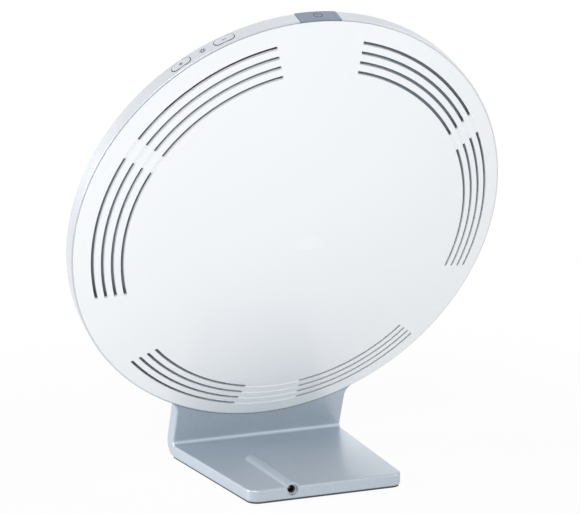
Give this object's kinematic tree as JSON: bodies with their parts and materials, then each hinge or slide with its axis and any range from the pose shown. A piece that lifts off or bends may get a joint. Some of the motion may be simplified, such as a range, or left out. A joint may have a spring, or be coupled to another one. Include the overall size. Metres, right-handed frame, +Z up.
{
  "type": "light therapy lamp",
  "caption": "Round disc light therapy lamp, leaning back on a low L-shaped foot, with push buttons in its rim and a round power jack at the rear of the foot.",
  "frame": {"origin": "on the underside of the foot's pad, directly below the disc's centre", "axes": "+Z up, -Y out of the light, +X to the right of someone who faces the light; the power jack is at +Y"},
  "size_m": [0.34, 0.1502, 0.3545],
  "materials": {
    "cover_white": "glossy white moulded plastic",
    "rim_silver": "satin silver metallic paint",
    "foot_silver": "satin cool silver metallic paint",
    "button_grey": "satin grey plastic",
    "diffuser_opal": "fine matt opal plastic",
    "dish_white": "matt white plastic",
    "foam_grey": "closed-cell foam",
    "pad_grey": "fine-grained soft pad",
    "plate_aluminium": "brushed sheet",
    "board_white": "white solder mask",
    "board_green": "green solder mask",
    "emitter_yellow": "phosphor resin",
    "steel_zinc": "zinc-plated steel",
    "ballast_steel": "blackened steel plate",
    "screw_steel": "nickel-plated steel",
    "plastic_black": "moulded black plastic",
    "connector_cream": "natural nylon",
    "capacitor_sleeve": "printed dark sleeve",
    "inductor_ferrite": "ground ferrite",
    "contact_spring": "plated spring metal",
    "contact_brass": "plated brass",
    "lead_black": "smooth insulation",
    "lead_grey": "smooth insulation"
  },
  "bodies": {
    "lamp": {"rim_ring": "rim_silver", "back_cover": "cover_white", "front_diffuser": "diffuser_opal", "diffuser_gasket": "foam_grey", "reflector_dish": "dish_white", "led_plate": "plate_aluminium", "led_strip_1": "board_white", "led_strip_2": "board_white", "led_strip_3": "board_white", "led_strip_4": "board_white", "led_strip_5": "board_white", "led_strip_6": "board_white", "led_strip_7": "board_white", "led_strip_8": "board_white", "led_emitters": "emitter_yellow", "strip_screws": "screw_steel", "led_hub_board": "board_white", "hub_connector": "connector_cream", "dish_screws": "screw_steel", "plate_screws": "screw_steel", "driver_board": "board_green", "board_standoffs": "contact_brass", "board_screws": "screw_steel", "driver_capacitors": "capacitor_sleeve", "driver_inductor": "inductor_ferrite", "driver_heatsink": "plate_aluminium", "driver_chips": "plastic_black", "driver_connectors": "connector_cream", "control_board": "board_green", "control_screws": "screw_steel", "switch_housings": "plastic_black", "foot_shell": "foot_silver", "foot_panel": "foot_silver", "base_pad": "pad_grey", "ballast_plate_narrow": "ballast_steel", "ballast_plate_wide": "ballast_steel", "base_screws": "screw_steel", "jack_housing": "plastic_black", "jack_bezel": "screw_steel", "jack_sleeve": "contact_spring", "jack_pin": "contact_brass", "neck_bracket": "steel_zinc", "neck_screws": "screw_steel", "supply_lead": "lead_black", "control_lead": "lead_grey", "light_lead": "lead_grey"},
    "power_key": {"power_button": "button_grey", "power_plunger": "plastic_black"},
    "minus_key": {"minus_button": "rim_silver", "minus_plunger": "plastic_black"},
    "plus_key": {"plus_button": "rim_silver", "plus_plunger": "plastic_black"}
  },
  "joints": [
    {"name": "power_press", "type": "slide", "parent": "lamp", "child": "power_key", "axis": [0, -0.342, -0.9397], "range_m": [0, 0.0005], "stiffness_N_per_m": 400, "springref_m": -0.0005},
    {"name": "minus_press", "type": "slide", "parent": "lamp", "child": "minus_key", "axis": [-0.4131, -0.3115, -0.8558], "range_m": [0, 0.0005], "stiffness_N_per_m": 400, "springref_m": -0.0005},
    {"name": "plus_press", "type": "slide", "parent": "lamp", "child": "plus_key", "axis": [-0.592, -0.2756, -0.7573], "range_m": [0, 0.0005], "stiffness_N_per_m": 400, "springref_m": -0.0005}
  ]
}
